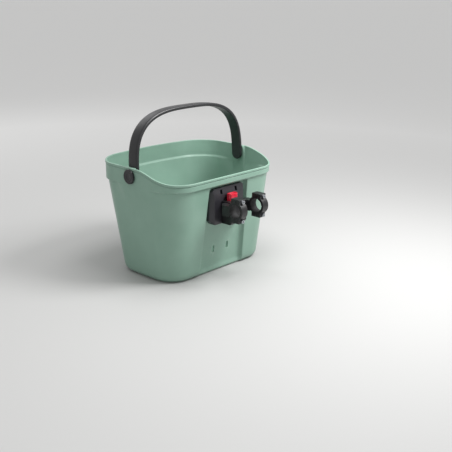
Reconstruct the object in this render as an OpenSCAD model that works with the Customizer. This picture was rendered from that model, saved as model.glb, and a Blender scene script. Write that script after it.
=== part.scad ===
// Handlebar basket: a moulded bucket with a swinging carrying handle, a quick-release
// plate on its rear wall, and a bracket with two split clamps round the handlebar.
// X is the width, +Y points away from the rider and +Z is up. The origin lies on the
// underside of the bucket, below the middle of the rim outline.

/* [Bucket] */
// Width over the rim
rim_w = 380; // [370:1:390]
// Depth over the rim, at its middle
rim_d = 291; // [285:1:300]
// Width of the outline at the underside, before its edge is rounded
floor_w = 337; // [325:1:345]
// Depth of the outline at the underside, before its edge is rounded
floor_d = 213; // [205:1:220]
// How far the underside's middle lies behind the rim's middle
floor_shift = 9.9; // [8:0.1:12]
// Height of the rim at the rear
rear_h = 244; // [240:1:248]
// Height of the rim at the sides and front
side_h = 268; // [264:1:280]
// Wall thickness
wall = 3; // [2.5:0.1:3.5]
// Radius of the edge between the walls and the floor
floor_edge_r = 16; // [12:1:20]
// How far the front bows out at its middle
front_bow = 19.4; // [14:0.1:22]
// How far each side bows out at its middle
side_bow = 3.8; // [2:0.1:5]

/* [Handle] */
// Rise of the handle above its pivots
handle_rise = 144.5; // [140:0.5:144.5]
// Width of the handle strap
handle_w = 30; // [26:1:32]
// Thickness of the handle strap
handle_t = 8.5; // [8:0.5:9]
// Distance between the outer faces of the handle's ends
handle_span = 360; // [358:0.5:360]
// Forward lean of the handle as it is stored
handle_lean = 3.4; // [0:0.1:6]
// Height of the pivots
pivot_z = 247.8; // [246:0.1:249]
// Place of the pivots along Y
pivot_y = -5.5; // [-7:0.1:-5]
// Diameter of the round caps outside the pivots
cap_d = 34; // [30:1:35]

/* [Quick release] */
// Width of the adapter plate
plate_w = 114; // [110:1:118]
// Height of the adapter plate's top edge
plate_top = 216; // [214:1:216]
// Height of the adapter plate's bottom edge
plate_bottom = 130; // [128:1:131]
// Distance from the origin to the adapter plate's front face
plate_face = 140; // [140:0.1:140.3]
// Travel of the release button and of the latch tongue
latch_travel = 5; // [4:0.5:5]

/* [Handlebar] */
// Diameter of the handlebar where the clamps hold it
bar_d = 31.8; // [31.8:0.1:32.2]
// Distance of the handlebar's axis behind the origin
bar_back = 200; // [199:0.5:201]
// Height of the handlebar's axis
bar_z = 176; // [175:0.5:177]
// Free gap between the two clamps, where the stem sits
stem_gap = 54; // [53:1:55]
// Width of each clamp
clamp_w = 19; // [18:1:22]

/* [Hidden] */
$fn = 48;

green = "#8fb5a3";
black = "#2b2b2d";
grey = "#9a9c9f";
red = "#e23b50";

running_gap = 0.05;   // radial, between a pivot stem and the bore that turns on it
slide_gap = 0.3;      // each side, between a sliding piece and its guide

// Bucket: a lower wall that widens upward, a step, and a band with a lip above it
lip_h = 5;
lip_out = 1.1;
band_out = 4.7;
band_z = 225;
step_rise = 4;
step_melt = 52;        // the step's height beside the pivots, where it melts into the wall
floor_r = 59;
wall_r = 67;
rim_r = 72.8;
wall_w = rim_w - 2 * (band_out + lip_out);
wall_d = rim_d - 2 * (band_out + lip_out);
band_low = band_z - step_rise / 2;
band_high = band_z + step_rise / 2;
wave_rear = -134;
wave_front = -23;
corner_steps = 8;

// Recess down the rear wall, which takes the adapter plate
recess_depth = 10.5;
recess_side = 7.5;
recess_top = 217;
mouth_low = 77.5;     // half width of the recess's mouth at the floor, and at its top
mouth_high = 67;
recess_close = 6;
strap_slot_x = 25.5;
strap_slot_w = 8;
strap_slot_low = 50.5;
strap_slot_high = 67.5;
recess_lean = (wall_d / 2 - floor_d / 2 - floor_shift) / band_z;
recess_y = -floor_shift - floor_d / 2 + recess_depth;
recess_angle = atan(recess_lean);

// Flat pads inside the side walls, behind the handle's ends
pad_half = 17.5;
pad_slope = 4.5;
pad_x = handle_span / 2 + 1.4;
boss_x = rim_w / 2 + 0.1;
boss_r = cap_d / 2 + 0.3;

// Pivot: a stem on each cap passes the wall, a spacer and the handle
stem_r = 5;
pivot_recess = 3.2;   // depth inside each end of the handle, for the washer and screw head
stem_end = handle_span / 2 - handle_t + pivot_recess - 0.2;
screw_hole_r = 2.05;

// Fixing screws of the adapter plate
plate_screw_x = 40;
plate_screw_z = [146, 198];
m5_r = 2.5;
backing_t = 3;
washer_t = 1.2;
plate_slope = 4.5;    // how far the plate's face leans in over its top 20 mm

// Rail: the T-shaped head that the adapter plate slides down over
lip_back = 135.5;
slot_back = 129;
mouth_half = 18.5;
slot_half = 24;
slot_top = 189;
rail_low = 133;
rail_base_t = 3.2;
body_front = plate_face + 1 + rail_base_t;
body_back = 172;
body_half = stem_gap / 2 - 1;
body_low = 131;
body_top = 185;
rail_screw_x = 22;
rail_screw_z = [138, 178];

// Button and latch, joined by 45 degree faces
button_top = 201.8;
button_low = 177.5;
button_half = 13.5;
button_front = 141.2;
button_back = 157;
button_r = 6;         // corner radius of the button's head
stem_y = -150.5;
stem_half = 2.5;
ledge_z = 162;
tongue_z = 143;
tongue_half_h = 4;
tongue_half_w = 6;
tongue_nose = 126;
tongue_back = 160;
wedge_sum = -6;       // y + z on the latch's sloping face
wedge_gap = 0.2;

// Clamps
liner_r = bar_d / 2 + 0.05;
liner_out = liner_r + 1.55;
saddle_r = liner_out + 0.1;
clamp_r = saddle_r + 4.4;
clamp_x = stem_gap / 2;
bolt_z = 22.8;
lug_low = 15;         // the lugs reach from this far above and below the bar's axis
lug_high = 28.2;
cap_back = 212.5;
nut_front = 187;
split_gap = 1;
arm_low = 158;
arm_top = 183.5;
arm_front = -body_front - 8;

function smooth(t) = let (u = min(1, max(0, t))) u * u * (3 - 2 * u);
function mix(a, b, t) = a + (b - a) * t;

// Height of the rim over a place y
function rim_top(y) =
  mix(rear_h, side_h, smooth((y - wave_rear) / (wave_front - wave_rear)));

// A plan is [half width, half depth, corner radius, y of its middle]
function wall_plan(z) = let (t = z / band_z) [
  mix(floor_w, wall_w, t) / 2, mix(floor_d, wall_d, t) / 2,
  mix(floor_r, wall_r, t), -floor_shift * (1 - t)
];
function band_plan() = [rim_w / 2 - lip_out, rim_d / 2 - lip_out, rim_r - lip_out, 0];
function inset(p, d) = [p[0] - d, p[1] - d, p[2] - d, p[3]];

function pad_stations(y0, y1) = let (
  a = pivot_y - pad_half, b = pivot_y + pad_half
) [(y0 + a - pad_slope) / 2, a - pad_slope, a, b, b + pad_slope, (b + pad_slope + y1) / 2];

// Right half of a plan's outline, from the rear's middle to the front's middle
function half_outline(p, depth, half) = let (
  a = p[0], b = p[1], r = p[2], c = p[3], run = a - r, mouth = half + recess_side
) [
  for (x = [0, half / 2, half]) [x, c - b + depth],
  for (x = [mouth, (mouth + run) / 2]) [x, c - b],
  for (i = [0:corner_steps]) let (t = 90 * i / corner_steps - 90)
    [run + r * cos(t), c - b + r + r * sin(t)],
  for (y = pad_stations(c - b + r, c + b - r)) [a, y],
  for (i = [0:corner_steps]) let (t = 90 * i / corner_steps)
    [run + r * cos(t), c + b - r + r * sin(t)],
  for (k = [3:-1:0]) [run * k / 4, c + b]
];

// The front and sides bow out a little
function bowed(q, p) = let (u = q[0] / p[0], v = (q[1] - p[3]) / p[1]) [
  q[0] - side_bow * (1 - cos(90 * v)) * u,
  q[1] - (v > 0 ? front_bow * (1 - cos(90 * u)) * v : 0)
];
function outline(p, depth, half) = let (
  right = [for (q = half_outline(p, depth, half)) bowed(q, p)],
  n = len(right)
) concat(right, [for (i = [n - 2:-1:1]) [-right[i][0], right[i][1]]]);

// Half width of the rear recess's floor at a height, and its depth, which fades out round the
// bottom edge and closes above a given top
function recess_half(z) = mix(mouth_low, mouth_high, min(1, z / recess_top)) - recess_side;
function recess_at(z, top) =
  recess_depth * smooth(z / floor_edge_r) * (1 - smooth((z - top) / recess_close));

// The step is crisp at the front and rear and fades out round the pivots
function step_blend(y) = mix(step_rise, step_melt, smooth((y + 82) / 28) * smooth((46 - y) / 26));

function outer_ring(z, d = 0) = let (
  low = outline(inset(wall_plan(z), d), recess_at(z, recess_top), recess_half(z)),
  high = outline(band_plan(), 0, recess_half(z))
) [
  for (i = [0:len(low) - 1]) let (
    s = step_blend(low[i][1]),
    q = mix(low[i], high[i], smooth((z - band_high + s) / s))
  ) [q[0], q[1], z]
];

// A ring above the step: t runs from the step to the lip, and drop is below the rim
function rim_ring(d, drop, t = 1, from = band_high) = [
  for (q = outline(inset(band_plan(), d), 0, recess_half(recess_top)))
    [q[0], q[1], mix(from, rim_top(q[1]) - drop, t)]
];

function padded(q) = abs(q[1] - pivot_y) < pad_half + 0.1 && abs(q[0]) > pad_x
  ? [sign(q[0]) * pad_x, q[1], q[2]] : q;
function inner_ring(z, d = 0) = let (
  half = recess_half(z) + 2.5,
  low = outline(inset(wall_plan(z), wall + d), recess_at(z, recess_top + 3), half),
  high = outline(inset(band_plan(), wall), 0, half)
) [
  for (i = [0:len(low) - 1]) let (
    s = step_blend(low[i][1]),
    q = mix(low[i], high[i], smooth((z - band_high - step_rise + s) / s))
  ) padded([q[0], q[1], z])
];

function shell_rings() = let (r = floor_edge_r, ri = floor_edge_r - wall) concat(
  [for (t = [0, 30, 60]) outer_ring(r * (1 - cos(t)), r * (1 - sin(t)))],
  [for (z = [r, 70, 130, 171, 184, 197, 207, recess_top, 220, band_low, band_z, band_high])
    outer_ring(z)],
  [rim_ring(0, lip_h + 0.6, 0.5), rim_ring(0, lip_h + 0.6), rim_ring(-lip_out, lip_h - 0.2),
    rim_ring(-lip_out, 1.2), rim_ring(0, 0)],
  [for (s = [[2, 0, 1], [wall, 1, 1], [wall, 6, 1], [wall, 6, 0.5]])
    [for (q = rim_ring(s[0], s[1], s[2], band_high + step_rise)) padded(q)]],
  [for (z = [band_high + step_rise, band_high + 2, band_high, recess_top + 6,
      recess_top + 3, 212, 200, 187, 174, 120, 70, r]) inner_ring(z)],
  [for (t = [60, 30, 0]) inner_ring(wall + ri * (1 - cos(t)), ri * (1 - sin(t)))]
);

// One closed surface through rings of equal length, with a centre point at each end
module loft(rings, first, last) {
  n = len(rings[0]);
  m = len(rings);
  points = concat([for (ring = rings) each ring], [first, last]);
  polyhedron(points, concat(
    [for (j = [0:m - 2], i = [0:n - 1]) let (k = (i + 1) % n) [j * n + i, (j + 1) * n + i, j * n + k]],
    [for (j = [0:m - 2], i = [0:n - 1]) let (k = (i + 1) % n)
      [(j + 1) * n + i, (j + 1) * n + k, j * n + k]],
    [for (i = [0:n - 1]) [m * n, i, (i + 1) % n]],
    [for (i = [0:n - 1]) [m * n + 1, (m - 1) * n + (i + 1) % n, (m - 1) * n + i]]
  ), convexity = 8);
}

// Local +Z becomes +X, and the left side mirrors the right
module along_x(x) translate([x, pivot_y, pivot_z]) rotate([0, 90, 0]) children();
module both_sides() {
  children();
  mirror([1, 0, 0]) children();
}
// Local +Z points into the bucket, from the outside of the recess's floor
module on_recess(x, z)
  translate([x, recess_y - recess_lean * z, z]) rotate([recess_angle - 90, 0, 0]) children();
// Local +Z points forward from a place on a plane of constant y
module facing_front(x, y, z) translate([x, y, z]) rotate([-90, 0, 0]) children();
module box(low, high) translate(low) cube(high - low);

module at_plate_screws()
  for (x = [-plate_screw_x, plate_screw_x], z = plate_screw_z) on_recess(x, z) children();

module basket_shell() color(green) difference() {
  union() {
    loft(shell_rings(), [0, -floor_shift, 0], [0, -floor_shift, wall]);
    both_sides() along_x(pad_x + 1) cylinder(r = boss_r, h = boss_x - pad_x - 1);
  }
  both_sides() along_x(pad_x - 5) cylinder(r = stem_r + running_gap, h = boss_x - pad_x + 10);
  at_plate_screws() translate([0, 0, -5]) cylinder(r = m5_r + 0.4, h = wall + 10);
  for (x = [-strap_slot_x, strap_slot_x])
    box([x - strap_slot_w / 2, -125, strap_slot_low], [x + strap_slot_w / 2, -95, strap_slot_high]);
}

// Handle: a flat strap bent to a squarish arch, its ends rounded about the pivots
arch_power = 3.1;
arch_steps = 56;
function arch(half, rise) = [
  for (i = [0:arch_steps]) let (t = 180 * i / arch_steps, c = cos(t), s = sin(t))
    [half * sign(c) * pow(abs(c), 2 / arch_power), rise * pow(abs(s), 2 / arch_power)]
];
module carrying_handle() color(black) {
  half = handle_span / 2;
  end_r = handle_w / 2 + 1;
  inner = arch(half - handle_t, handle_rise - handle_t);
  profile = concat(
    [[half, -end_r]], arch(half, handle_rise), [[-half, -end_r], [handle_t - half, -end_r]],
    [for (i = [arch_steps:-1:0]) inner[i]], [[half - handle_t, -end_r]]
  );
  translate([0, pivot_y, pivot_z]) rotate([-handle_lean, 0, 0]) difference() {
    intersection() {
      translate([0, handle_w / 2, 0]) rotate([90, 0, 0]) linear_extrude(handle_w) polygon(profile);
      union() {
        rotate([0, 90, 0]) cylinder(r = end_r, h = rim_w, center = true);
        box([-rim_w / 2, -handle_w, -5], [rim_w / 2, handle_w, handle_rise + 10]);
      }
    }
    rotate([0, 90, 0]) cylinder(r = stem_r + running_gap, h = rim_w, center = true);
    both_sides() translate([half - handle_t - 1, 0, 0]) rotate([0, 90, 0])
      cylinder(r = 7, h = pivot_recess + 1);
  }
}

module pivot_cap() color(black) along_x(0) difference() {
  union() {
    rotate_extrude($fn = 64) polygon([
      [0, boss_x], [cap_d / 2, boss_x], [cap_d / 2, boss_x + 3.2],
      [cap_d / 2 - 1.4, boss_x + 4.6], [0, boss_x + 4.6]
    ]);
    translate([0, 0, stem_end]) cylinder(r = stem_r, h = boss_x - stem_end + 1);
  }
  translate([0, 0, stem_end - 1]) cylinder(r = screw_hole_r, h = 12);
  translate([0, 0, boss_x + 3.8]) cylinder(r = cap_d / 2 - 5, h = 2);
}
module pivot_cap_right() pivot_cap();
module pivot_cap_left() mirror([1, 0, 0]) pivot_cap();

module ring(r_out, r_in, h) difference() {
  cylinder(r = r_out, h = h);
  translate([0, 0, -1]) cylinder(r = r_in, h = h + 2);
}
module pivot_spacers() color(grey) both_sides()
  along_x(handle_span / 2 + 0.1) ring(9, stem_r + 0.1, 1.2);
module pivot_washers() color(grey) both_sides()
  along_x(stem_end - 1) ring(6.6, 2.2, 1);
module pivot_screws() color(grey) both_sides() along_x(stem_end - 2.9) {
  difference() {
    cylinder(r = 4, h = 1.9);
    translate([0, 0, -1]) cylinder(r = 1.5, h = 2, $fn = 6);
  }
  translate([0, 0, 1.8]) cylinder(r = 2, h = 10);
}

// Adapter plate: a low wedge on the recess floor with a T-shaped slot up its middle
module adapter_plate() color(black) difference() {
  intersection() {
    translate([-plate_w / 2, 0, 0]) rotate([90, 0, 90]) linear_extrude(plate_w) polygon([
      [recess_y - recess_lean * plate_bottom, plate_bottom],
      [recess_y - recess_lean * plate_top, plate_top],
      [plate_slope - plate_face, plate_top], [-plate_face, plate_top - 20],
      [-plate_face, plate_bottom]
    ]);
    translate([0, 0, plate_bottom - 5]) linear_extrude(plate_top - plate_bottom + 10) polygon([
      [-plate_w / 2, -110], [-plate_w / 2, -129], [8 - plate_w / 2, -plate_face - 1],
      [plate_w / 2 - 8, -plate_face - 1], [plate_w / 2, -129], [plate_w / 2, -110]
    ]);
    translate([0, -110, 0]) rotate([90, 0, 0]) linear_extrude(40) polygon([
      [-plate_w / 2, plate_bottom + 9], [9 - plate_w / 2, plate_bottom],
      [plate_w / 2 - 9, plate_bottom], [plate_w / 2, plate_bottom + 9],
      [plate_w / 2, plate_top - 9], [plate_w / 2 - 9, plate_top],
      [9 - plate_w / 2, plate_top], [-plate_w / 2, plate_top - 9]
    ]);
  }
  box([-mouth_half, -plate_face - 5, plate_bottom - 5], [mouth_half, -lip_back + 1, slot_top]);
  box([-slot_half, -lip_back, plate_bottom - 5], [slot_half, -slot_back, slot_top]);
  box([-tongue_half_w - 0.6, -slot_back - 1, tongue_z - tongue_half_h - 0.6],
    [tongue_half_w + 0.6, 1 - tongue_nose, tongue_z + tongue_half_h + 0.6]);
  at_plate_screws() translate([0, 0, -9.5]) cylinder(r = m5_r + 0.05, h = 12);
  for (x = [-25, 25]) box([x - 3.5, -145, 200.5], [x + 3.5, -131, 211.5]);
}

module backing_plate() color(grey) on_recess(0, 172) difference() {
  translate([0, 0, wall]) linear_extrude(backing_t) polygon([
    [-54, -32], [-46, -40], [46, -40], [54, -32], [54, 32], [46, 40], [-46, 40], [-54, 32]
  ]);
  for (x = [-plate_screw_x, plate_screw_x], z = plate_screw_z)
    translate([x, (172 - z) / cos(recess_angle), 0]) cylinder(r = m5_r + 0.3, h = 20);
}
module plate_washers() color(grey) at_plate_screws()
  translate([0, 0, wall + backing_t]) ring(5, m5_r + 0.2, washer_t);
module plate_screws() color(grey) at_plate_screws() {
  head = wall + backing_t + washer_t;
  translate([0, 0, head]) difference() {
    cylinder(r = 4.5, h = 3.2);
    translate([0, 0, 1.4]) cylinder(r = 2, h = 3, $fn = 6);
  }
  translate([0, 0, -9]) cylinder(r = m5_r, h = head + 9.1);
}

// Rail plate: a base screwed to the bracket, a neck and the head of the T
module rail_plate() color(black) difference() {
  union() {
    box([-body_half, -body_front, body_low], [body_half, rail_base_t - body_front, body_top]);
    box([0.5 - mouth_half, -body_front + 1, rail_low], [mouth_half - 0.5, -130, slot_top - 0.5]);
    box([0.5 - slot_half, 0.3 - lip_back, rail_low], [slot_half - 0.5, -slot_back - 0.5, slot_top - 0.5]);
  }
  box([-button_half - 1, -body_front - 1, button_low - latch_travel - 1],
    [button_half + 1, 0.2 - button_front, body_top + 5]);
  box([-tongue_half_w - slide_gap, -150, tongue_z - tongue_half_h - slide_gap],
    [tongue_half_w + slide_gap, -120, tongue_z + tongue_half_h + slide_gap]);
  for (x = [-rail_screw_x, rail_screw_x], z = rail_screw_z)
    facing_front(x, -body_front - 1, z) {
      cylinder(r = 2.2, h = 10);
      translate([0, 0, rail_base_t - 0.8]) cylinder(r1 = 2.2, r2 = 4, h = 1.81);
    }
}
module rail_screws() color(grey)
  for (x = [-rail_screw_x, rail_screw_x], z = rail_screw_z)
    facing_front(x, -body_front - 11, z) {
      cylinder(r = 2, h = 10 + rail_base_t - 0.7);
      translate([0, 0, 10 + rail_base_t - 0.8]) difference() {
        cylinder(r1 = 2, r2 = 3.6, h = 1.6);
        translate([0, 0, 0.7]) cylinder(r = 1.2, h = 2, $fn = 6);
      }
    }

// Bracket body: a box with the latch in it, and an arm and a saddle on each side
module bar_axis(x, h) translate([x, -bar_back, bar_z]) rotate([0, 90, 0]) cylinder(r = h[0], h = h[1]);
module at_clamp_bolts(x) for (z = [-bolt_z, bolt_z]) translate([x + clamp_w / 2, -bar_back, bar_z + z])
  rotate([-90, 0, 0]) children();

module clamp_half(x, near, far) difference() {
  intersection() {
    union() {
      bar_axis(x, [clamp_r, clamp_w]);
      for (z = [bar_z - lug_high, bar_z + lug_low])
        box([x, -cap_back, z], [x + clamp_w, -nut_front, z + lug_high - lug_low]);
    }
    box([x - 1, far, bar_z - 60], [x + clamp_w + 1, near, bar_z + 60]);
  }
  bar_axis(x - 1, [saddle_r, clamp_w + 2]);
  at_clamp_bolts(x) translate([0, 0, -20]) cylinder(r = m5_r + 0.3, h = 50);
}

module bracket_body() color(black) difference() {
  union() {
    difference() {
      box([-body_half, -body_back, body_low], [body_half, -body_front, body_top]);
      // Bevels along the upper and lower rear edges
      for (z = [body_low, body_top]) translate([0, -body_back, z]) rotate([45, 0, 0])
        cube([2 * body_half + 2, 7, 7], center = true);
    }
    for (x = [clamp_x, -clamp_x - clamp_w]) clamp_half(x, -160, split_gap / 2 - bar_back);
    // Arms, which leave the gap between the clamps free for the stem
    both_sides() difference() {
      union() {
        box([body_half - 4, -body_back, arm_low], [clamp_x + clamp_w, arm_front, arm_top]);
        box([clamp_x, -bar_back + saddle_r + 2, arm_low], [clamp_x + clamp_w, 1 - body_back, arm_top]);
      }
      translate([clamp_x + clamp_w, arm_front, bar_z]) rotate([0, 0, 45])
        cube([12, 12, 60], center = true);
    }
  }
  both_sides() bar_axis(clamp_x - 1, [saddle_r, clamp_w + 2]);
  // Well for the button's head, seat for its spring, and hole for its stem
  button_outline(button_low - latch_travel - 0.5, 30, slide_gap);
  translate([0, stem_y, ledge_z]) cylinder(r = 5.2, h = 20);
  box([-stem_half - slide_gap, stem_y - stem_half - slide_gap, tongue_z],
    [stem_half + slide_gap, stem_y + stem_half + slide_gap, ledge_z + 1]);
  // Tunnel for the tongue and its spring, and room below for the button's wedge
  box([-tongue_half_w - slide_gap, -body_back + 2, tongue_z - tongue_half_h - slide_gap],
    [tongue_half_w + slide_gap, -body_front + 1, tongue_z + tongue_half_h + slide_gap]);
  box([-stem_half - 0.5, stem_y - stem_half - 0.5, 135.5], [stem_half + 0.5, stem_y + 4, tongue_z]);
  for (x = [-rail_screw_x, rail_screw_x], z = rail_screw_z)
    facing_front(x, -body_front - 12, z) cylinder(r = screw_hole_r, h = 15);
  for (x = [clamp_x, -clamp_x - clamp_w]) at_clamp_bolts(x) {
    translate([0, 0, -5]) cylinder(r = m5_r + 0.3, h = 60);
    translate([0, 0, bar_back - nut_front - 4.2]) cylinder(r = 4.75, h = 50, $fn = 6);
  }
}

// Rounded rectangle of the button's head, grown by a gap, from a height upward
module button_outline(z, h, gap = 0) translate([0, 0, z]) linear_extrude(h) hull()
  for (x = [button_r - button_half, button_half - button_r],
      y = [button_r - button_back, -button_front - button_r])
    translate([x, y]) circle(button_r + gap);
module release_button() color(red) {
  difference() {
    union() {
      button_outline(button_low, button_top - 1.5 - button_low);
      button_outline(button_low, button_top - button_low, -1.2);
    }
    // Shallow hollow for the thumb
    translate([0, (-button_front - button_back) / 2, button_top + 38.6]) rotate([0, 90, 0])
      cylinder(r = 40, h = 19, center = true, $fn = 96);
  }
  difference() {
    box([-stem_half, stem_y - stem_half, 136], [stem_half, stem_y + stem_half, button_low + 1]);
    // Below the plane y + z = wedge_sum + wedge_gap
    translate([0, stem_y, wedge_sum + wedge_gap - stem_y]) rotate([-45, 0, 0])
      translate([-10, -20, -20]) cube([20, 40, 20]);
  }
}

module latch_tongue() color(black) difference() {
  box([-tongue_half_w, -tongue_back, tongue_z - tongue_half_h],
    [tongue_half_w, -tongue_nose, tongue_z + tongue_half_h]);
  // Window with a sloping rear face for the button's wedge
  intersection() {
    box([-stem_half - 0.4, -160, 130], [stem_half + 0.4, -141, 160]);
    translate([0, stem_y, wedge_sum - stem_y]) rotate([-45, 0, 0])
      translate([-10, -30, 0]) cube([20, 60, 40]);
  }
  // Ramp on top of the nose, which the plate's edge pushes back as it comes down
  translate([0, -tongue_nose, tongue_z + tongue_half_h]) rotate([45, 0, 0])
    cube([40, 4, 4], center = true);
}

// Coil spring along +Z: a round wire swept round a helix
wire_sides = 8;
turn_steps = 16;
module coil(r, wire, height, turns) {
  n = turns * turn_steps;
  rings = [for (j = [0:n]) let (t = 360 * j / turn_steps) [
    for (k = [0:wire_sides - 1]) let (u = 360 * k / wire_sides, d = r + wire / 2 * cos(u))
      [d * cos(t), d * sin(t), wire / 2 + (height - wire) * j / n - wire / 2 * sin(u)]
  ]];
  loft(rings, [r, 0, wire / 2], [r * cos(360 * turns), r * sin(360 * turns), height - wire / 2]);
}
module button_spring() color(grey) translate([0, stem_y, ledge_z + 0.1])
  coil(4.4, 0.9, button_low - ledge_z - 0.2, 5);
module latch_spring() color(grey) translate([0, 2.1 - body_back, tongue_z]) rotate([-90, 0, 0])
  coil(2.9, 0.8, body_back - tongue_back - 2.2, 4);

module clamp_cap(x) color(black) clamp_half(x, -bar_back - split_gap / 2, -bar_back - 60);
module clamp_cap_right() clamp_cap(clamp_x);
module clamp_cap_left() clamp_cap(-clamp_x - clamp_w);

module clamp_bolts() color(grey)
  for (x = [clamp_x, -clamp_x - clamp_w]) at_clamp_bolts(x) translate([0, 0, bar_back - cap_back - 5]) {
    difference() {
      cylinder(r = 4.25, h = 5);
      translate([0, 0, -1]) cylinder(r = 2.3, h = 3.5, $fn = 6);
    }
    translate([0, 0, 4.9]) cylinder(r = m5_r, h = cap_back - nut_front + 0.1);
  }
module clamp_nuts() color(grey)
  for (x = [clamp_x, -clamp_x - clamp_w]) at_clamp_bolts(x)
    translate([0, 0, bar_back - nut_front - 4.1]) difference() {
      cylinder(r = 4.6, h = 4, $fn = 6);
      translate([0, 0, -1]) cylinder(r = m5_r + 0.05, h = 6);
    }

// Rubber liner, slit at the back so that it can be opened round the bar
module bar_liner(x) color(black) difference() {
  bar_axis(x, [liner_out, clamp_w]);
  bar_axis(x - 1, [liner_r, clamp_w + 2]);
  box([x - 1, -bar_back - 30, bar_z - 1], [x + clamp_w + 1, -bar_back, bar_z + 1]);
}
module bar_liner_right() bar_liner(clamp_x);
module bar_liner_left() bar_liner(-clamp_x - clamp_w);

basket_shell();
carrying_handle();
pivot_cap_left();
pivot_cap_right();
pivot_spacers();
pivot_washers();
pivot_screws();
adapter_plate();
backing_plate();
plate_washers();
plate_screws();
rail_plate();
rail_screws();
bracket_body();
release_button();
button_spring();
latch_tongue();
latch_spring();
clamp_cap_left();
clamp_cap_right();
clamp_bolts();
clamp_nuts();
bar_liner_left();
bar_liner_right();
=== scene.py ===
# %% [markdown]
# # A handlebar basket
# A moulded green bucket hangs from a bicycle's handlebar. A black strap handle swings on two
# pivots, and a black plate on the rear wall slides down over a rail on the bracket. The CAD
# model gives every place and size, so it is loaded first and nothing is fitted by eye.

import math

import bmesh
import bpy
from mathutils import Matrix, Vector


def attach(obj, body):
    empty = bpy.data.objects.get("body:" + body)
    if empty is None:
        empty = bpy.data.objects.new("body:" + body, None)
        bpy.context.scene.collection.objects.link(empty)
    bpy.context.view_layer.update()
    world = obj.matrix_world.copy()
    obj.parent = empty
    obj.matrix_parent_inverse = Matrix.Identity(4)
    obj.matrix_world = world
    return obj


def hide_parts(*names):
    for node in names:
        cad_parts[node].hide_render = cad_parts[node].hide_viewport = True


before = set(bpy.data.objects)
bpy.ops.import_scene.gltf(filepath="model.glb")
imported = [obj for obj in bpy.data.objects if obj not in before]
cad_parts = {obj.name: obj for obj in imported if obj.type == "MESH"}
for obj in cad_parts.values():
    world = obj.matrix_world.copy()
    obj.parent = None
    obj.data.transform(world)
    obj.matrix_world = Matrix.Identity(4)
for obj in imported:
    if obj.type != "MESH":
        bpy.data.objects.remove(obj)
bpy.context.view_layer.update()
MM = 0.001

# %% [markdown]
# ## The camera
# The basket is seen from behind its left corner, a little above the rim, from about 1.9 m away.
# The lens's place sets the perspective, and the focal length only sets how much of the frame
# the basket fills: here it takes up a little under half of it, left of and above the middle.

# %% Camera
AZIMUTH, ELEVATION, ROLL = (math.radians(a) for a in (-47.58, 17.88, 0.82))
LENS_PLACE, FOCAL_MM = (-1.2608, -1.2830, 0.6664), 59.6
camera_data = bpy.data.cameras.new("camera")
camera_data.lens = FOCAL_MM
camera = bpy.data.objects.new("camera", camera_data)
camera.matrix_world = (
    Matrix.Translation(LENS_PLACE)
    @ Matrix.Rotation(AZIMUTH, 4, "Z")
    @ Matrix.Rotation(math.pi / 2 - ELEVATION, 4, "X")
    @ Matrix.Rotation(ROLL, 4, "Z")
)
bpy.context.scene.collection.objects.link(camera)
bpy.context.scene.camera = camera
print("camera to the bucket's middle:", round((camera.location - Vector((0, 0, 0.13))).length, 2), "m")

# %% [markdown]
# ## Small helpers
# Sizes below are in millimetres, as in a workshop drawing, and are turned to metres once.
# `smooth` is an S-curve from 0 to 1, which is what makes a moulded surface flow from one level
# to the next without a corner, and `eased` is that curve laid between two places.

# %% Helpers
def smooth(t):
    t = min(1.0, max(0.0, t))
    return t * t * (3 - 2 * t)


def eased(value, start, end):
    return smooth((value - start) / (end - start))


def mix(a, b, t):
    return a + (b - a) * t


def arc(centre, radius, start, end, steps):
    """Points of an arc in a plane, angles in degrees."""
    angles = [math.radians(mix(start, end, i / steps)) for i in range(steps + 1)]
    return [(centre[0] + radius * math.cos(a), centre[1] + radius * math.sin(a)) for a in angles]


def make_piece(bm, name, body, material, replaces, sharp):
    """Turns a bmesh in metres into a finished piece that rides on a body and replaces CAD nodes."""
    mesh = bpy.data.meshes.new(name)
    bm.to_mesh(mesh)
    bm.free()
    mesh.polygons.foreach_set("use_smooth", [True] * len(mesh.polygons))
    mesh.set_sharp_from_angle(angle=math.radians(sharp))
    piece = bpy.data.objects.new(name, mesh)
    bpy.context.scene.collection.objects.link(piece)
    mesh.materials.append(material)
    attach(piece, body)
    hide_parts(*replaces)
    print(f"{name}: {len(mesh.vertices)} vertices, {len(mesh.polygons)} faces")
    return piece


# %% [markdown]
# ## Materials
# Each finish is built from what the real part is made of. One function adds a node, sets its
# options, and links or sets its inputs, and one turns sRGB hex colours to linear light.

# %% Material helpers
def linear(hex_colour):
    channels = [int(hex_colour[i : i + 2], 16) / 255 for i in (1, 3, 5)]
    return [c / 12.92 if c <= 0.04045 else ((c + 0.055) / 1.055) ** 2.4 for c in channels] + [1.0]


def add(tree, kind, options=None, inputs=None):
    node = tree.nodes.new("ShaderNode" + kind)
    for name, value in (options or {}).items():
        setattr(node, name, value)
    for name, value in (inputs or {}).items():
        if isinstance(value, bpy.types.NodeSocket):
            tree.links.new(value, node.inputs[name])
        else:
            node.inputs[name].default_value = value
    return node


def ramp(tree, source, stops):
    """A colour ramp through (place, colour) stops."""
    node = add(tree, "ValToRGB", inputs={"Fac": source})
    elements = node.color_ramp.elements
    while len(elements) < len(stops):
        elements.new(0.5)
    for element, (place, colour) in zip(elements, stops):
        element.position = place
        element.color = colour
    return node.outputs["Color"]


def grey(value):
    return [value, value, value, 1.0]


def new_material(name):
    material = bpy.data.materials.new(name)
    material.use_nodes = True
    tree = material.node_tree
    tree.nodes.clear()
    output = add(tree, "OutputMaterial")
    shader = add(tree, "BsdfPrincipled")
    tree.links.new(shader.outputs["BSDF"], output.inputs["Surface"])
    place = add(tree, "TexCoord").outputs["Object"]
    return material, tree, shader, place


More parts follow.
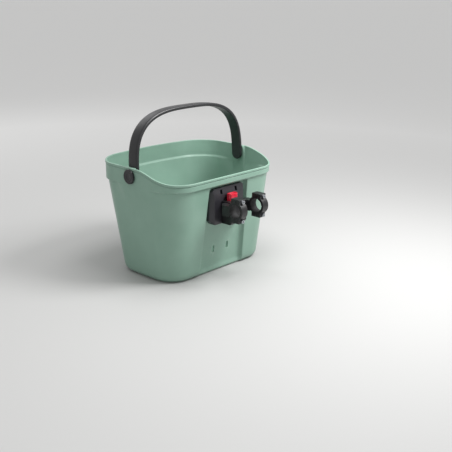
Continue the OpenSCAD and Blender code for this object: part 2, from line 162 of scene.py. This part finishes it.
def noise(tree, place, size_mm, detail):
    """Noise whose blobs are about size_mm across on the object."""
    inputs = {"Vector": place, "Scale": 1 / (size_mm * MM), "Detail": detail, "Roughness": 0.55}
    return add(tree, "TexNoise", inputs=inputs).outputs["Fac"]


def bump(tree, shader, height, depth_mm, strength, under=None):
    """Raises the surface by height, on top of the bumps given as under."""
    node = add(tree, "Bump", inputs={"Height": height, "Distance": depth_mm * MM, "Strength": strength})
    if under is not None:
        tree.links.new(under, node.inputs["Normal"])
    tree.links.new(node.outputs["Normal"], shader.inputs["Normal"])
    return node.outputs["Normal"]


# %% [markdown]
# The bucket is injection-moulded **polypropylene**, coloured in the mass. The tool's cavity was
# spark-eroded, which leaves a very fine even grain that breaks up reflections, so the plastic
# looks satin: sharp edges catch a soft light line and the flats glow evenly. The real grain is
# about 0.1 mm and would vanish at this distance, so it is drawn 0.6 mm wide. Larger, fainter
# waves come from the melt's flow and the wall's slight sink.

# %% Polypropylene
def polypropylene():
    material, tree, shader, place = new_material("polypropylene")
    tint = noise(tree, place, 55, detail=2)
    colour = ramp(tree, tint, [(0.3, linear("#7f9f8f")), (0.7, linear("#85a595"))])
    worn = add(tree, "NewGeometry").outputs["Pointiness"]
    edge = ramp(tree, worn, [(0.515, grey(0.0)), (0.56, grey(1.0))])
    scuff = ramp(tree, noise(tree, place, 9, detail=6), [(0.45, grey(0.0)), (0.75, grey(1.0))])
    rubbed = add(tree, "Math", {"operation": "MULTIPLY"}, {0: edge, 1: scuff})
    paler = add(
        tree, "Mix", {"data_type": "RGBA"}, {0: rubbed.outputs[0], 6: colour, 7: linear("#a2bbae")}
    )
    tree.links.new(paler.outputs[2], shader.inputs["Base Color"])
    patchy = ramp(tree, noise(tree, place, 22, detail=4), [(0.3, grey(0.36)), (0.7, grey(0.43))])
    tree.links.new(patchy, shader.inputs["Roughness"])
    shader.inputs["IOR"].default_value = 1.49
    shader.inputs["Subsurface Weight"].default_value = 0.06
    shader.inputs["Subsurface Radius"].default_value = (0.6, 1.0, 0.8)
    shader.inputs["Subsurface Scale"].default_value = 2 * MM
    waves = bump(tree, shader, noise(tree, place, 60, detail=1), 0.35, 0.25)
    bump(tree, shader, noise(tree, place, 0.6, detail=2), 0.03, 0.5, under=waves)
    return material


# %% [markdown]
# The handle, caps, plate and bracket are black **glass-filled nylon**. It is harder and a touch
# shinier than the bucket. The caps are the smoothest. The plate and the bracket have a coarser
# grain, which hides the glass fibres at the surface. The plate's black is painted a little paler:
# painted light for its face, which lies flat to the light.

# %% Glass-filled nylon
def glass_filled_nylon(name, colour, pale, rough, grain_mm, depth_mm):
    material, tree, shader, place = new_material(name)
    tint = ramp(
        tree, noise(tree, place, 30, detail=3), [(0.3, linear(colour)), (0.75, linear(pale))]
    )
    tree.links.new(tint, shader.inputs["Base Color"])
    sheen = ramp(
        tree,
        noise(tree, place, 16, detail=5),
        [(0.3, grey(rough - 0.05)), (0.7, grey(rough + 0.06))],
    )
    tree.links.new(sheen, shader.inputs["Roughness"])
    shader.inputs["IOR"].default_value = 1.53
    bump(tree, shader, noise(tree, place, grain_mm, detail=2), depth_mm, 0.5)
    return material


# %% [markdown]
# The release button is glossy red **ABS**, polished in the tool so that it stands out. Screws,
# bolts, nuts and the backing plate are **zinc-plated steel**: a cool pale grey with a blotchy
# sheen from the plating bath. The springs are drawn **spring steel**, darker and smoother. The
# clamp liners are soft black **EPDM rubber**, and the pivot spacers natural **acetal**.

# %% ABS, steel, rubber and acetal
def red_abs():
    material, tree, shader, place = new_material("red ABS")
    tint = ramp(
        tree, noise(tree, place, 12, detail=2), [(0.3, linear("#d6273b")), (0.7, linear("#e03349"))]
    )
    tree.links.new(tint, shader.inputs["Base Color"])
    shader.inputs["IOR"].default_value = 1.54
    handled = ramp(tree, noise(tree, place, 4, detail=5), [(0.35, grey(0.14)), (0.75, grey(0.26))])
    tree.links.new(handled, shader.inputs["Roughness"])
    shader.inputs["Coat Weight"].default_value = 0.3
    bump(tree, shader, noise(tree, place, 5, detail=2), 0.02, 0.3)
    return material


def plated_steel(name, dark, pale, rough, blotch_mm):
    material, tree, shader, place = new_material(name)
    blotch = noise(tree, place, blotch_mm, detail=5)
    tree.links.new(
        ramp(tree, blotch, [(0.3, linear(dark)), (0.7, linear(pale))]), shader.inputs["Base Color"]
    )
    tree.links.new(
        ramp(tree, blotch, [(0.3, grey(rough)), (0.7, grey(rough + 0.12))]), shader.inputs["Roughness"]
    )
    shader.inputs["Metallic"].default_value = 1.0
    bump(tree, shader, noise(tree, place, 0.5, detail=2), 0.01, 0.4)
    return material


def soft_solid(name, dark, pale, rough, grain_mm, ior):
    material, tree, shader, place = new_material(name)
    tint = noise(tree, place, 8, detail=4)
    tree.links.new(
        ramp(tree, tint, [(0.3, linear(dark)), (0.7, linear(pale))]), shader.inputs["Base Color"]
    )
    tree.links.new(
        ramp(tree, tint, [(0.3, grey(rough - 0.06)), (0.7, grey(rough + 0.06))]),
        shader.inputs["Roughness"],
    )
    shader.inputs["IOR"].default_value = ior
    bump(tree, shader, noise(tree, place, grain_mm, detail=2), 0.03, 0.5)
    return material


bucket_finish = polypropylene()
handle_finish = glass_filled_nylon("glass-filled nylon, satin", "#18181a", "#1f1f22", 0.37, 0.7, 0.02)
cap_finish = glass_filled_nylon("glass-filled nylon, fine", "#151518", "#1c1c20", 0.33, 0.5, 0.015)
# painted light: the plate's black is paler than the other blacks, for the light on its flat face
plate_finish_painted_paler = glass_filled_nylon("glass-filled nylon, painted paler for its lit face", "#29282d", "#313035", 0.38, 0.8, 0.03)
bracket_finish = glass_filled_nylon("glass-filled nylon, grained", "#121214", "#18181b", 0.40, 0.8, 0.03)
button_finish = red_abs()
zinc_finish = plated_steel("zinc-plated steel", "#a3a7ad", "#c9ccd0", 0.26, 3)
spring_finish = plated_steel("spring steel", "#6f7276", "#8f9296", 0.2, 2)
rubber_finish = soft_solid("EPDM rubber", "#161617", "#232324", 0.75, 0.6, 1.5)
acetal_finish = soft_solid("acetal", "#cfccc0", "#dedbd0", 0.4, 0.5, 1.48)
print("materials:", [m.name for m in bpy.data.materials])

# %% [markdown]
# ## The bucket
# The bucket is one moulding about 3 mm thick. Its outline is a rounded rectangle whose front
# bows out. It widens upward, steps out to a smooth band below the rim, and ends in a thin lip.
# Inside, the band is thickest at its foot and thins upward, so that its step is a faint line.
# The rear wall has a recess down its middle for the plate, which runs out in the bottom's round
# edge. The outline is held as stations: the same station on every ring marks the same feature,
# so the surface can be drawn up ring by ring.

# %% Bucket sizes, in mm
# A plan is (half width, half depth, corner radius, y of the middle, half width of the recess)
RIM = (190.0, 145.5, 72.8, 0.0, 66.6)
WALL_TOP = (184.2, 139.7, 67.0, 0.0, 66.6)
FLOOR = (168.5, 106.5, 59.0, -9.9, 77.5)
# The wall's thickness, the radius of the bottom's round edge, and the lip
WALL, EDGE = 3.0, 16.0
LIP_OUT, LIP_H = 1.1, 5.0
# The step is crisp at the front and rear and melts into a tall slope beside the pivots
STEP_Z, STEP_H, MELTED_H = 225.0, 1.8, 52.0
MELT_REAR, MELT_FRONT = (-82.0, -54.0), (46.0, 20.0)
BAND_LOW, BAND_HIGH = STEP_Z - STEP_H / 2, STEP_Z + STEP_H / 2
# Inside, the step ends a little higher, and the band is this thick at its foot
INNER_STEP_H, INNER_STEP_TOP, BAND_FOOT = 6.5, BAND_HIGH + 4, 4.6
# The rim is low at the rear and rises between the two places of the wave
REAR_H, SIDE_H, WAVE = 244.0, 268.0, (-134.0, -23.0)
FRONT_BOW, SIDE_BOW = 19.4, 3.8
# The recess closes over a short height above its top, and is wider inside the bucket
RECESS_DEEP, RECESS_SIDE, RECESS_TOP, RECESS_CLOSE, RECESS_SPREAD = 10.5, 9.5, 217.0, 6.0, 2.5
# The recess's edge starts this far outside its mouth, on a curve that meets the cove 1 mm inside
EDGE_REACH, EDGE_CURVE = 1.17, 0.0498
PIVOT = Vector((0.0, -5.5, 247.8))
# Each pad is flat to the rim, and over its last stretch it narrows on both sides by the cut
PAD_X, PAD_HALF, PAD_SLOPE, PAD_CORNER, PAD_CUT = 181.4, 17.5, 3.0, 12.0, 6.0
SLOT_X, SLOT_Z = (21.5, 29.5), (50.5, 67.5)
SLOT_MID_X, SLOT_MID_Z = sum(SLOT_X) / 2, sum(SLOT_Z) / 2


def rim_top(y):
    return mix(REAR_H, SIDE_H, eased(y, *WAVE))


def inset(plan, by, widen=0.0):
    return (plan[0] - by, plan[1] - by, plan[2] - by, plan[3], plan[4] + widen)


def wall_plan(z):
    return tuple(mix(low, high, z / STEP_Z) for low, high in zip(FLOOR, WALL_TOP))


def cove(inside):
    """Share of the recess's depth at a distance inside its mouth: a round edge, then a cove."""
    if inside < 1:
        return EDGE_CURVE * max(0.0, inside + EDGE_REACH) ** 2
    return 1 - (1 - min(1.0, inside / RECESS_SIDE)) ** 2.4


# %% Stations round half the outline
CORNER_STEPS = 18
REAR_FLAT = 37
PAD_REACH = PAD_HALF + PAD_SLOPE + 2
pad_offsets = [10.5, 12, 13.5, 15, 16.3, 17.5, 18.25, 19, 19.75, 20.5, PAD_REACH]
stations = (
    [("rear", x) for x in (0, 10, 17, SLOT_X[0], SLOT_MID_X, SLOT_X[1], REAR_FLAT)]
    + [("recess floor", f) for f in (0.3, 0.6, 0.85)]
    + [("mouth", s) for s in (9.5, 8, 6.5, 5, 3.7, 2.6, 1.7, 1, 0.5, 0.1, -0.3, -0.7, -EDGE_REACH)]
    + [("rear on", f) for f in (0.15, 0.4, 0.7)]
    + [("rear corner", 90 * i / CORNER_STEPS - 90) for i in range(CORNER_STEPS + 1)]
    + [("side back", f) for f in (0.3, 0.6, 0.85)]
    + [("side", PIVOT.y - y) for y in reversed(pad_offsets)]
    + [("side", PIVOT.y + y) for y in (-5, 0, 5)]
    + [("side", PIVOT.y + y) for y in pad_offsets]
    + [("side front", f) for f in (0.15, 0.4, 0.7)]
    + [("front corner", 90 * i / CORNER_STEPS) for i in range(CORNER_STEPS + 1)]
    + [("front", 1 - i / 12) for i in range(1, 13)]
)


def station_place(station, plan):
    """Where a station lies on a plan, before the bow and the recess."""
    kind, value = station
    half_w, half_d, radius, mid, mouth = plan
    run, back, front = half_w - radius, mid - half_d, mid + half_d
    if kind == "rear":
        return value, back
    if kind == "recess floor":
        return mix(REAR_FLAT, mouth - RECESS_SIDE, value), back
    if kind == "mouth":
        return mouth - value, back
    if kind == "rear on":
        return mix(mouth + EDGE_REACH, run, value), back
    if kind == "rear corner":
        a = math.radians(value)
        return run + radius * math.cos(a), back + radius + radius * math.sin(a)
    if kind == "side back":
        return half_w, mix(back + radius, PIVOT.y - PAD_REACH, value)
    if kind == "side":
        return half_w, value
    if kind == "side front":
        return half_w, mix(PIVOT.y + PAD_REACH, front - radius, value)
    if kind == "front corner":
        a = math.radians(value)
        return run + radius * math.cos(a), front - radius + radius * math.sin(a)
    return run * value, front


def outline_place(index, plan, recess=0.0):
    """Place of ring vertex number index; the left half mirrors the right."""
    count = len(stations)
    side = 1 if index < count else -1
    station = stations[index if side == 1 else 2 * count - 2 - index]
    x, y = station_place(station, plan)
    u, v = x / plan[0], (y - plan[3]) / plan[1]
    if station[0] in ("rear", "recess floor", "mouth"):
        y += recess * cove(plan[4] - x)
    if v > 0:
        y -= FRONT_BOW * (1 - math.cos(math.pi / 2 * u)) * v
    x -= SIDE_BOW * (1 - math.cos(math.pi / 2 * v)) * u
    return side * x, y


ring_size = 2 * len(stations) - 2
print("stations round the bucket:", ring_size)


# %% [markdown]
# Each ring of the bucket is described by a small function of the vertex number. The outside of
# the wall is a blend of two outlines, the lower wall's and the band's. The blend is quick at the
# front and rear, which gives a crisp step, and slow beside the pivots, where the step melts away.

# %% Rings
def step_height(y, crisp):
    return mix(crisp, MELTED_H, eased(y, *MELT_REAR) * eased(y, *MELT_FRONT))


def recess_at(z, top):
    """The recess's depth: it grows over the bottom's round edge and closes above its top."""
    return RECESS_DEEP * smooth(z / EDGE) * (1 - smooth((z - top) / RECESS_CLOSE))


def across_step(low, high, z, top, crisp):
    """A place between the lower wall's outline and the band's, for a step that ends at top."""
    height = step_height(low[1], crisp)
    t = smooth((z - top + height) / height)
    return mix(low[0], high[0], t), mix(low[1], high[1], t)


def outer_ring(z, by=0.0):
    def place(i):
        low = outline_place(i, inset(wall_plan(z), by), recess_at(z, RECESS_TOP))
        x, y = across_step(low, outline_place(i, inset(RIM, LIP_OUT)), z, BAND_HIGH, STEP_H)
        return x, y, z

    return place


def pad(x, y, z):
    """Inside the side walls a flat pad stands behind each end of the handle."""
    if abs(x) <= PAD_X:
        return x
    half = PAD_HALF - PAD_CUT * max(0.0, (z - SIDE_H + PAD_CORNER) / PAD_CORNER) ** 2
    t = (abs(y - PIVOT.y) - half) / PAD_SLOPE
    return math.copysign(mix(PAD_X, abs(x), mix(smooth(t), min(1.0, max(0.0, t)), 0.6)), x)


def rim_ring(by, drop, t=1.0, start=BAND_HIGH, inside=False):
    def place(i):
        x, y = outline_place(i, inset(RIM, LIP_OUT + by, RECESS_SPREAD if inside else 0.0))
        z = mix(start, rim_top(y) - drop, t)
        return (pad(x, y, z) if inside else x), y, z

    return place


def inner_ring(z, by=0.0):
    def place(i):
        low_plan = inset(wall_plan(z), WALL + by, RECESS_SPREAD)
        low = outline_place(i, low_plan, recess_at(z, RECESS_TOP + WALL))
        high = outline_place(i, inset(RIM, LIP_OUT + BAND_FOOT, RECESS_SPREAD))
        x, y = across_step(low, high, z, INNER_STEP_TOP, INNER_STEP_H)
        return pad(x, y, z), y, z

    return place


def floor_ring(scale, z, ring):
    """A ring of the flat floor, drawn in towards its middle."""

    def place(i):
        x, y, _ = ring(i)
        return x * scale, FLOOR[3] + (y - FLOOR[3]) * scale, z

    return place


# %% [markdown]
# The rings are joined with one operator used over and over: start from a circle of vertices,
# extrude its edges, and move the new vertices to the next ring. Each vertex carries its station
# number in a layer, which the extrusion copies, so the new vertices know where to go. The slots
# are opened at the end by deleting faces in both skins and bridging the two holes.

# %% Draw up the bucket
def outer_heights():
    slot_rows = [24, 36, SLOT_Z[0], SLOT_MID_Z, SLOT_Z[1], 80]
    wall_rows = [95, 110, 125, 140, 155, 168, 176, 184, 191, 198, 204, 209, 213]
    closing_rows = [RECESS_TOP, 218.2, 219.4, 220.6, 221.8, 222.8]
    step_rows = [BAND_LOW + STEP_H * i / 6 for i in range(7)]
    return slot_rows + wall_rows + closing_rows + step_rows


def inner_heights():
    step_rows = [INNER_STEP_TOP - INNER_STEP_H * i / 8 for i in range(9)]
    closing_rows = [223.2, 222.2, 221, RECESS_TOP + WALL]
    wall_rows = [216, 210, 203, 196, 189, 182, 175, 160, 140, 120, 100, 80]
    return step_rows + closing_rows + wall_rows + [SLOT_Z[1], SLOT_MID_Z, SLOT_Z[0], 36, 24]


def bucket_rings():
    angles = [0, 12, 25, 38, 52, 66, 78, 90]
    outside_edge = [
        outer_ring(EDGE * (1 - math.cos(math.radians(a))), EDGE * (1 - math.sin(math.radians(a))))
        for a in angles
    ]
    thin = EDGE - WALL
    inside_edge = [
        inner_ring(WALL + thin * (1 - math.cos(math.radians(a))), thin * (1 - math.sin(math.radians(a))))
        for a in reversed(angles)
    ]
    band = [rim_ring(0, LIP_H + 4, t) for t in (0.15, 0.35, 0.6, 0.85, 1)]
    # Pairs are (inward from the band's face, down from the lip's foot)
    groove = [(0.05, 3.2), (0.4, 2.3), (0.9, 1.6), (1.2, 1.0), (1.2, 0.4), (1.0, 0.1)]
    lip_profile = [
        (0.5, 0), (-0.3, 0), (-0.85, -0.05), (-1.05, -0.25), (-LIP_OUT, -0.7), (-LIP_OUT, -2.2),
        (-LIP_OUT, -3.8), (-0.98, -4.4), (-0.6, -4.85), (-0.1, -5), (0.8, -5), (1.8, -5),
        (2.5, -4.85), (2.85, -4.5), (WALL, -4), (WALL, -2), (WALL, 1),
    ]  # fmt: skip
    lip = [rim_ring(by, LIP_H + rise, inside=by > 1) for by, rise in groove + lip_profile]
    inside_band = [
        rim_ring(mix(BAND_FOOT, WALL, t), LIP_H + 2, t, INNER_STEP_TOP, inside=True)
        for t in (0.85, 0.65, 0.4, 0.2, 0.08)
    ]
    floor_out = [floor_ring(s, 0.0, outside_edge[0]) for s in (0.97, 0.7, 0.35)]
    floor_in = [floor_ring(s, WALL, inside_edge[-1]) for s in (0.97, 0.7, 0.35)]
    return (
        floor_out[::-1]
        + outside_edge
        + [outer_ring(z) for z in outer_heights()]
        + band
        + lip
        + inside_band
        + [inner_ring(z) for z in inner_heights()]
        + inside_edge
        + floor_in
    )


def draw_up(rings, count):
    """Grows a skin from ring to ring and closes it at both ends."""
    bm = bmesh.new()
    station = bm.verts.layers.int.new("station")
    made = bmesh.ops.create_circle(bm, segments=count, radius=1)["verts"]
    for i, vert in enumerate(made):
        vert[station] = i
        vert.co = Vector(rings[0](i)) * MM
    first = bm.edges[:]
    edges = first
    for ring in rings[1:]:
        grown = bmesh.ops.extrude_edge_only(bm, edges=edges)["geom"]
        for vert in (g for g in grown if isinstance(g, bmesh.types.BMVert)):
            vert.co = Vector(ring(vert[station])) * MM
        edges = [g for g in grown if isinstance(g, bmesh.types.BMEdge)]
    for loop in (first, edges):
        bmesh.ops.contextual_create(bm, geom=loop)
    return bm


def open_slots(bm):
    """Two upright slots through the recess floor, for a strap."""

    def in_slot(face):
        middle = face.calc_center_median() / MM
        in_x = SLOT_X[0] < abs(middle.x) < SLOT_X[1]
        in_z = SLOT_Z[0] < middle.z < SLOT_Z[1]
        return in_x and in_z and middle.y < 0

    bmesh.ops.delete(bm, geom=[f for f in bm.faces if in_slot(f)], context="FACES")
    for side in (-1, 1):
        rims = [e for e in bm.edges if e.is_boundary and e.verts[0].co.x * side > 0]
        bmesh.ops.bridge_loops(bm, edges=rims)


bucket = draw_up(bucket_rings(), ring_size)
open_slots(bucket)
bmesh.ops.recalc_face_normals(bucket, faces=bucket.faces)
make_piece(bucket, "bucket", "basket", bucket_finish, ["basket_shell"], sharp=60)

# %% [markdown]
# ## The carrying handle
# The handle is a flat strap bent to a squarish arch, with round ends on the pivots. Half a cross
# section is spun half a turn about the pivot to make the round end. The open edge that is left
# is the whole cross section, which is then extruded along the arch, and the half handle is
# mirrored. The edges are well rounded for the hand.

# %% Handle sizes, in mm
STRAP_W, STRAP_T, STRAP_CROWN = 30.0, 8.5, 0.5
ARCH_HALF, ARCH_RISE, ARCH_POWER = 180.0 - STRAP_T / 2, 144.5 - STRAP_T / 2, 3.1
LEAN = math.radians(3.4)
FINE_STEPS = 2000


def arch_place(t):
    """A point of the arch's middle line, from the pivot at 0 to the top at 1."""
    a = math.pi / 2 * t
    power = 2 / ARCH_POWER
    return Vector((ARCH_HALF * max(0.0, math.cos(a)) ** power, 0, ARCH_RISE * math.sin(a) ** power))


def even_arch(steps):
    """Frames evenly spaced along the arch: local X is outward, Y across, Z along."""
    fine = [arch_place(i / FINE_STEPS) for i in range(FINE_STEPS + 1)]
    reach = [0.0]
    for a, b in zip(fine, fine[1:]):
        reach.append(reach[-1] + (b - a).length)
    frames, k = [], 0
    for i in range(steps + 1):
        goal = reach[-1] * i / steps
        while k < len(fine) - 2 and reach[k + 1] < goal:
            k += 1
        t = (goal - reach[k]) / (reach[k + 1] - reach[k])
        place = fine[k].lerp(fine[k + 1], t)
        along = (fine[min(k + 4, FINE_STEPS)] - fine[max(k - 3, 0)]).normalized()
        if i == 0:
            along = Vector((0, 0, 1))
        if i == steps:
            along = Vector((-1, 0, 0))
        across = Vector((0, 1, 0))
        turn = Matrix((across.cross(along), across, along)).transposed().to_4x4()
        frames.append(Matrix.Translation(place) @ turn)
    return frames


def half_section():
    """Half the strap's cross section as (outward, across), from its outer to its inner middle."""
    half, low = STRAP_W / 2, -STRAP_T / 2
    r_out, r_in = 2.8, 2.0
    edge = STRAP_T / 2 - STRAP_CROWN
    crown = [
        (STRAP_T / 2 - STRAP_CROWN * (w / half) ** 2, w) for w in (0, 3, 6, 9, half - r_out - 0.4)
    ]
    outer = [(y, x) for x, y in arc((half - r_out, edge - r_out), r_out, 85, 0, 5)]
    inner = [(y, x) for x, y in arc((half - r_in, low + r_in), r_in, 0, -90, 5)]
    return crown + outer + inner + [(low, w) for w in (9, 6, 3, 0)]


# %% Bend the strap
def strap():
    frames = even_arch(90)
    bm = bmesh.new()
    row = [bm.verts.new((x, y, 0)) for x, y in half_section()]
    edges = [bm.edges.new(pair) for pair in zip(row, row[1:])]
    bmesh.ops.spin(
        bm, geom=row + edges, cent=(0, 0, 0), axis=(1, 0, 0), angle=-math.pi, steps=28, use_merge=False
    )
    bmesh.ops.remove_doubles(bm, verts=bm.verts, dist=0.001)
    bmesh.ops.transform(bm, matrix=frames[0], verts=bm.verts)
    edges = [e for e in bm.edges if e.is_boundary]
    for last, this in zip(frames, frames[1:]):
        grown = bmesh.ops.extrude_edge_only(bm, edges=edges)["geom"]
        moved = [g for g in grown if isinstance(g, bmesh.types.BMVert)]
        bmesh.ops.transform(bm, matrix=this @ last.inverted(), verts=moved)
        edges = [g for g in grown if isinstance(g, bmesh.types.BMEdge)]
    bmesh.ops.mirror(bm, geom=bm.verts[:] + bm.edges[:] + bm.faces[:], axis="X", merge_dist=0.01)
    bmesh.ops.remove_doubles(bm, verts=bm.verts, dist=0.001)
    bmesh.ops.recalc_face_normals(bm, faces=bm.faces)
    upright = Matrix.Translation(PIVOT) @ Matrix.Rotation(-LEAN, 4, "X")
    bmesh.ops.transform(bm, matrix=Matrix.Scale(MM, 4) @ upright, verts=bm.verts)
    return bm


make_piece(
    strap(), "handle", "handle", handle_finish, ["carrying_handle"], sharp=60
)

# %% [markdown]
# ## Pivot caps
# A round cap covers each pivot from outside. Its profile is drawn once, from the middle of the
# face to the back of the rim, and spun about the pivot. A shallow dish with a raised ring takes
# the place of any badge.

# %% Caps
CAP_R, CAP_BACK, CAP_FACE = 17.0, 190.1, 194.7
DISH_R, DISH_DEEP, RING_H, RING_SIDE = 7.5, 0.9, 0.7, 1.4


def cap_profile():
    """Points as (along the axis, away from it)."""
    low, edge_r = CAP_FACE - DISH_DEEP, 1.9
    dish = [(low, 0), (low, DISH_R)]
    ring_in = [(low + RING_H * smooth(t), DISH_R + RING_SIDE * t) for t in (0.25, 0.5, 0.75, 1)]
    ring_out = [(CAP_FACE - 0.2 - 0.5 * smooth(t), 9.6 + RING_SIDE * t) for t in (0, 0.33, 0.66, 1)]
    rise = [(CAP_FACE - 0.7 + 0.7 * smooth(t), 11.2 + 2.0 * t) for t in (0.33, 0.66, 1)]
    edge = arc((CAP_FACE - edge_r, CAP_R - edge_r), edge_r, 0, 90, 6)
    return dish + ring_in + ring_out + rise + edge + [(CAP_BACK, CAP_R), (CAP_BACK, 0)]


def cap(side):
    bm = bmesh.new()
    row = [bm.verts.new((x, y, 0)) for x, y in cap_profile()]
    edges = [bm.edges.new(pair) for pair in zip(row, row[1:])]
    bmesh.ops.spin(
        bm, geom=row + edges, cent=(0, 0, 0), axis=(1, 0, 0), angle=2 * math.pi, steps=72, use_merge=True
    )
    bmesh.ops.remove_doubles(bm, verts=bm.verts, dist=0.001)
    place = Matrix.Translation((0, PIVOT.y, PIVOT.z))
    turn = Matrix.Diagonal((side, 1, 1, 1))
    bmesh.ops.transform(bm, matrix=Matrix.Scale(MM, 4) @ place @ turn, verts=bm.verts)
    bmesh.ops.recalc_face_normals(bm, faces=bm.faces)
    return bm


for side, word in ((1, "right"), (-1, "left")):
    covers = [f"pivot_cap_{word}"]
    make_piece(cap(side), f"cap_{word}", "basket", cap_finish, covers, sharp=40)

# %% [markdown]
# ## Plate, bracket and button
# These mouldings have true shapes in the CAD model, with sharp edges. Real moulded edges are
# slightly round and catch the light, so each is copied, its triangles are merged back into flat
# faces, and every sharp edge is bevelled. Weighted normals keep the flats looking flat.

# %% Rounded copies of CAD pieces
def rounded_copy(node, name, body, slot, material, radius_mm):
    """A copy of a CAD node whose edges sharper than 30 degrees are rounded."""
    bm = bmesh.new()
    bm.from_mesh(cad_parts[node].data)
    bmesh.ops.remove_doubles(bm, verts=bm.verts, dist=0.01 * MM)
    bmesh.ops.dissolve_limit(bm, angle_limit=math.radians(0.4), verts=bm.verts, edges=bm.edges)
    sharp = [
        e for e in bm.edges if len(e.link_faces) == 2 and e.calc_face_angle() > math.radians(30)
    ]
    bmesh.ops.bevel(
        bm,
        geom=sharp,
        offset=radius_mm * MM,
        segments=3,
        profile=0.5,
        affect="EDGES",
        material=-1,
        clamp_overlap=True,
    )
    piece = make_piece(bm, name, body, material, [node], sharp=50)
    normals = piece.modifiers.new("flat faces", "WEIGHTED_NORMAL")
    normals.keep_sharp = True


ROUNDED = [
    ("adapter_plate", "plate", "basket", "plate_black", plate_finish_painted_paler, 1.2),
    ("bracket_body", "bracket", "bracket", "bracket_black", bracket_finish, 0.5),
    ("rail_plate", "rail", "bracket", "bracket_black", bracket_finish, 0.4),
    ("clamp_cap_left", "clamp_left", "bracket", "bracket_black", bracket_finish, 0.8),
    ("clamp_cap_right", "clamp_right", "bracket", "bracket_black", bracket_finish, 0.8),
    ("release_button", "button", "button", "button_red", button_finish, 0.5),
    ("latch_tongue", "tongue", "latch", "latch_black", bracket_finish, 0.3),
    ("backing_plate", "backing", "basket", "zinc_steel", zinc_finish, 0.4),
]
for spec in ROUNDED:
    rounded_copy(*spec)

# %% Finishes of the CAD pieces that stay
KEPT = {
    "pivot_spacers": acetal_finish,
    "pivot_washers": zinc_finish,
    "pivot_screws": zinc_finish,
    "plate_washers": zinc_finish,
    "plate_screws": zinc_finish,
    "rail_screws": zinc_finish,
    "clamp_bolts": zinc_finish,
    "clamp_nuts": zinc_finish,
    "button_spring": spring_finish,
    "latch_spring": spring_finish,
    "bar_liner_left": rubber_finish,
    "bar_liner_right": rubber_finish,
}
for node, material in KEPT.items():
    for material_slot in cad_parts[node].material_slots:
        material_slot.material = material
print("kept CAD pieces:", len(KEPT))

# %% [markdown]
# ## Floor and light
# The basket stands on a plain pale floor in an even pale surround. The floor is painted greyer
# near the basket: painted shade, which holds down the pool of light there and throws less light
# up onto the lower walls. The key light hangs above the bracket's side and makes the rear wall and
# the rim a little brighter than the sides. A weak light right above helps to fill the inside, and
# a large one from behind lifts the far edges.

# %% Studio
FLOOR_HALF, FLOOR_DROP, PALE_AT = 60, 0.5 * MM, 2.0


def area_light(name, place, target, size, power):
    """A white rectangular light at a place, turned to face a target."""
    data = bpy.data.lights.new(name, "AREA")
    data.shape = "RECTANGLE"
    data.size, data.size_y = size
    data.energy = power
    light = bpy.data.objects.new(name, data)
    light.location = place
    light.rotation_mode = "QUATERNION"
    light.rotation_quaternion = (Vector(target) - Vector(place)).to_track_quat("-Z", "Y")
    bpy.context.scene.collection.objects.link(light)


def floor_with_painted_shade():
    bm = bmesh.new()
    bmesh.ops.create_grid(bm, x_segments=1, y_segments=1, size=FLOOR_HALF)
    mesh = bpy.data.meshes.new("floor")
    bm.to_mesh(mesh)
    bm.free()
    floor = bpy.data.objects.new("floor", mesh)
    floor.location = (0, 0, -FLOOR_DROP)
    bpy.context.scene.collection.objects.link(floor)
    material, tree, shader, place = new_material("studio floor, painted shade near the basket")
    reach = add(tree, "VectorMath", {"operation": "LENGTH"}, {0: place})
    share = add(tree, "Math", {"operation": "MULTIPLY"}, {0: reach.outputs["Value"], 1: 1 / PALE_AT})
    # painted shade: the floor's colour is greyer near the basket and paler far off
    shade_near_basket = ramp(tree, share.outputs[0], [(0.1, linear("#b9b9b8")), (1.0, linear("#f6f6f5"))])
    tree.links.new(shade_near_basket, shader.inputs["Base Color"])
    shader.inputs["Roughness"].default_value = 0.7
    mesh.materials.append(material)


def studio():
    floor_with_painted_shade()
    world = bpy.data.worlds.new("studio surround")
    world.use_nodes = True
    background = world.node_tree.nodes["Background"]
    background.inputs["Color"].default_value = (1, 1, 1, 1)
    background.inputs["Strength"].default_value = 0.6
    bpy.context.scene.world = world
    area_light("top light", (0, -0.1, 0.95), (0, 0, 0.2), (0.4, 0.3), 3)
    area_light("key light", (0.35, -0.6, 0.95), (-0.05, 0.1, 0.2), (0.4, 0.4), 11.5)
    area_light("rim light", (0.3, 1.9, 1.5), (0, 0, 0.2), (1.5, 1.0), 5)
    bpy.context.scene.view_settings.view_transform = "Standard"


studio()
